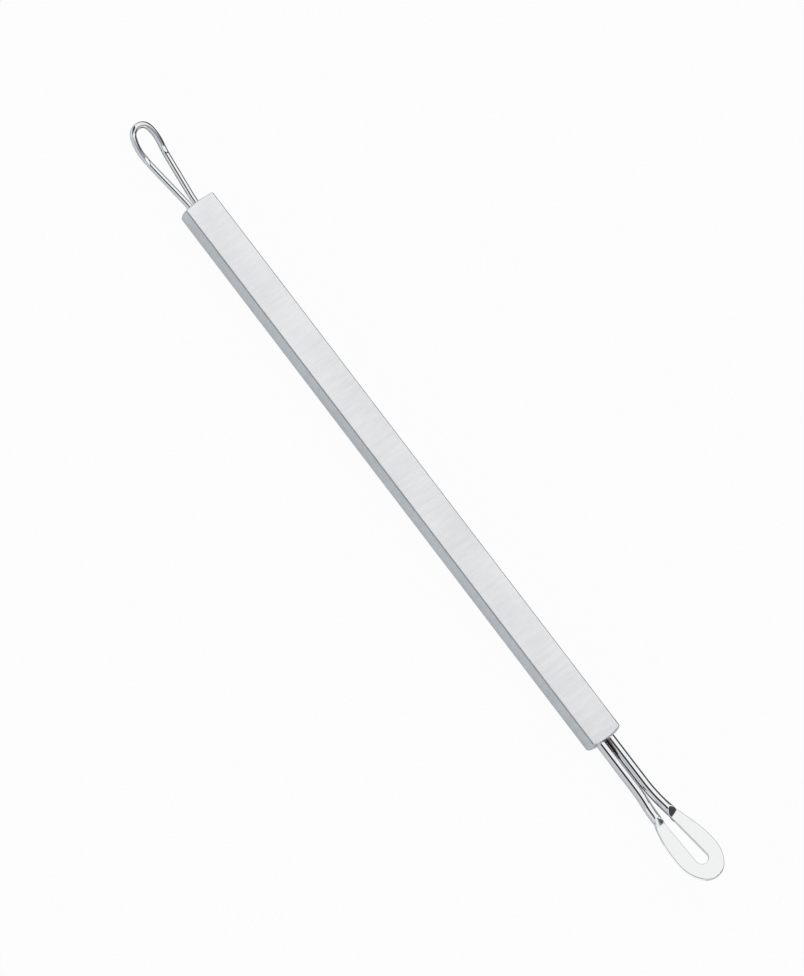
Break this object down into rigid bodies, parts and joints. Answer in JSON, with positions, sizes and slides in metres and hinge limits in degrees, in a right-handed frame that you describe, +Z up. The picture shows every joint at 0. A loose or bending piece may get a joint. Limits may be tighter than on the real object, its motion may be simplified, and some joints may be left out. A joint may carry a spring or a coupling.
{
  "type": "comedone extractor",
  "caption": "Two-ended skin instrument: a square satin bar handle with a fine round-wire loop in one end and a wire loop pressed flat into a slotted teardrop ring in the other.",
  "frame": {"origin": "middle of the handle's flat underside, on which the tool rests", "axes": "+X along the handle towards the pressed ring, +Z up, towards the side to which both heads are bent, +Y across the handle"},
  "size_m": [0.1255, 0.006, 0.006],
  "materials": {
    "satin_bar": "satin, brushed across the bar",
    "polished_wire": "mirror polished",
    "silver_solder": "dull, as cast"
  },
  "bodies": {
    "root": {"handle": "satin_bar", "fine_loop": "polished_wire", "flat_loop": "polished_wire", "fine_loop_solder": "silver_solder", "flat_loop_solder": "silver_solder"}
  },
  "joints": []
}
